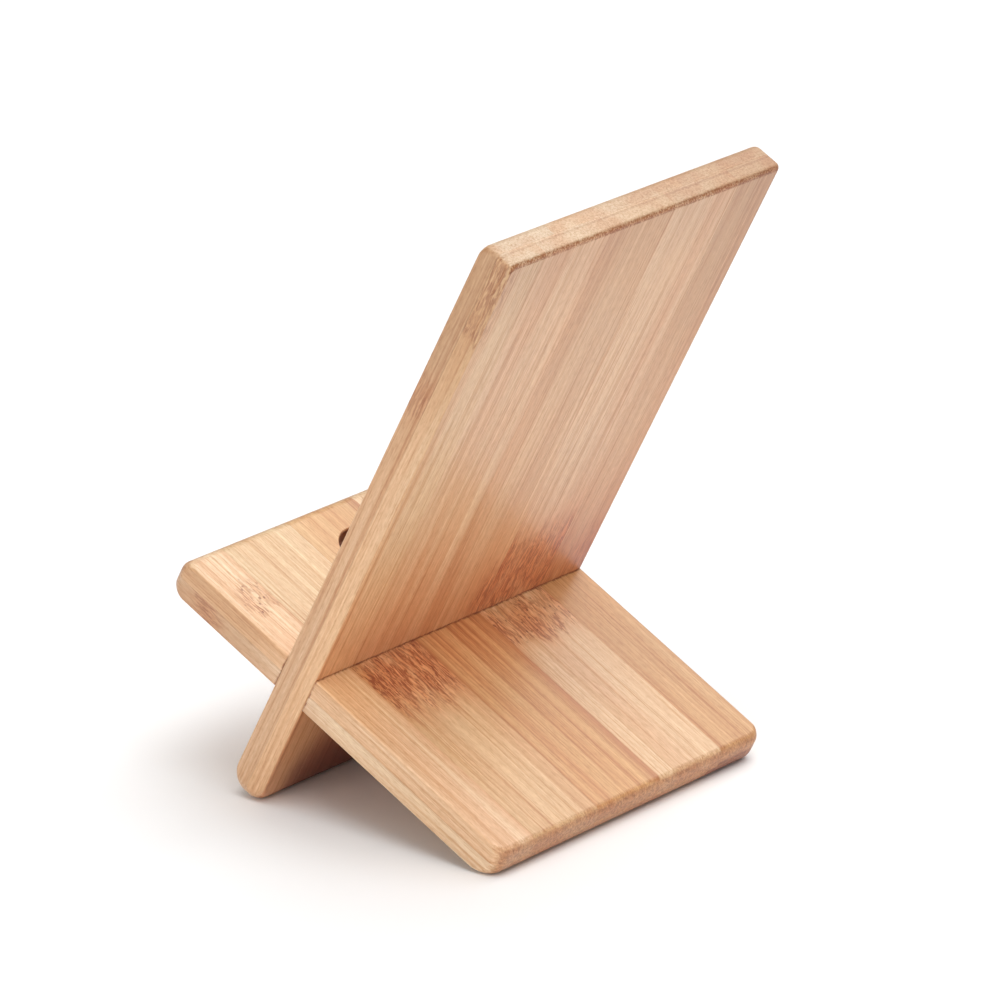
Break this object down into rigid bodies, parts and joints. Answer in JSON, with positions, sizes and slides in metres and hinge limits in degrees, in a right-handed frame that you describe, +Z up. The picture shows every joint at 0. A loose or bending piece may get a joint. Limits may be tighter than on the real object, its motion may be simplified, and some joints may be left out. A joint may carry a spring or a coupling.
{
  "type": "phone stand",
  "caption": "Slot-together phone stand: a tall bamboo back board leaning back across a short bamboo shelf board with a cable hole in its front ledge.",
  "frame": {"origin": "on the table, under the middle of the stand's bounding box", "axes": "+Z up, -Y towards the person using the phone, +X across the boards, to the side that the back board slides out of"},
  "size_m": [0.08, 0.0814, 0.1219],
  "materials": {
    "back_rear_strip_1": "fine-sanded bamboo, thin clear satin finish",
    "back_rear_strip_2": "fine-sanded bamboo, thin clear satin finish",
    "back_rear_strip_3": "fine-sanded bamboo, thin clear satin finish",
    "back_rear_strip_4": "fine-sanded bamboo, thin clear satin finish",
    "back_rear_strip_5": "fine-sanded bamboo, thin clear satin finish",
    "back_front_strip_1": "fine-sanded bamboo, thin clear satin finish",
    "back_front_strip_2": "fine-sanded bamboo, thin clear satin finish",
    "back_front_strip_3": "fine-sanded bamboo, thin clear satin finish",
    "back_front_strip_4": "fine-sanded bamboo, thin clear satin finish",
    "back_front_strip_5": "fine-sanded bamboo, thin clear satin finish",
    "shelf_top_strip_1": "fine-sanded bamboo, thin clear satin finish",
    "shelf_top_strip_2": "fine-sanded bamboo, thin clear satin finish",
    "shelf_top_strip_3": "fine-sanded bamboo, thin clear satin finish",
    "shelf_top_strip_4": "fine-sanded bamboo, thin clear satin finish",
    "shelf_top_strip_5": "fine-sanded bamboo, thin clear satin finish",
    "shelf_bottom_strip_1": "fine-sanded bamboo, thin clear satin finish",
    "shelf_bottom_strip_2": "fine-sanded bamboo, thin clear satin finish",
    "shelf_bottom_strip_3": "fine-sanded bamboo, thin clear satin finish",
    "shelf_bottom_strip_4": "fine-sanded bamboo, thin clear satin finish",
    "shelf_bottom_strip_5": "fine-sanded bamboo, thin clear satin finish"
  },
  "bodies": {
    "shelf_board": {"shelf_top_strip_1_front": "shelf_top_strip_1", "shelf_top_strip_1_rear": "shelf_top_strip_1", "shelf_top_strip_2_front": "shelf_top_strip_2", "shelf_top_strip_2_rear": "shelf_top_strip_2", "shelf_top_strip_3": "shelf_top_strip_3", "shelf_top_strip_4": "shelf_top_strip_4", "shelf_top_strip_5": "shelf_top_strip_5", "shelf_bottom_strip_1_front": "shelf_bottom_strip_1", "shelf_bottom_strip_1_rear": "shelf_bottom_strip_1", "shelf_bottom_strip_2_front": "shelf_bottom_strip_2", "shelf_bottom_strip_2_rear": "shelf_bottom_strip_2", "shelf_bottom_strip_3": "shelf_bottom_strip_3", "shelf_bottom_strip_4": "shelf_bottom_strip_4", "shelf_bottom_strip_5": "shelf_bottom_strip_5"},
    "back_board": {"back_rear_strip_1": "back_rear_strip_1", "back_rear_strip_2": "back_rear_strip_2", "back_rear_strip_3": "back_rear_strip_3", "back_rear_strip_4_lower": "back_rear_strip_4", "back_rear_strip_4_upper": "back_rear_strip_4", "back_rear_strip_5_lower": "back_rear_strip_5", "back_rear_strip_5_upper": "back_rear_strip_5", "back_front_strip_1": "back_front_strip_1", "back_front_strip_2": "back_front_strip_2", "back_front_strip_3": "back_front_strip_3", "back_front_strip_4_lower": "back_front_strip_4", "back_front_strip_4_upper": "back_front_strip_4", "back_front_strip_5_lower": "back_front_strip_5", "back_front_strip_5_upper": "back_front_strip_5"}
  },
  "joints": [
    {"name": "board_slide", "type": "slide", "parent": "shelf_board", "child": "back_board", "axis": [1, 0, 0], "range_m": [0, 0.085]}
  ]
}
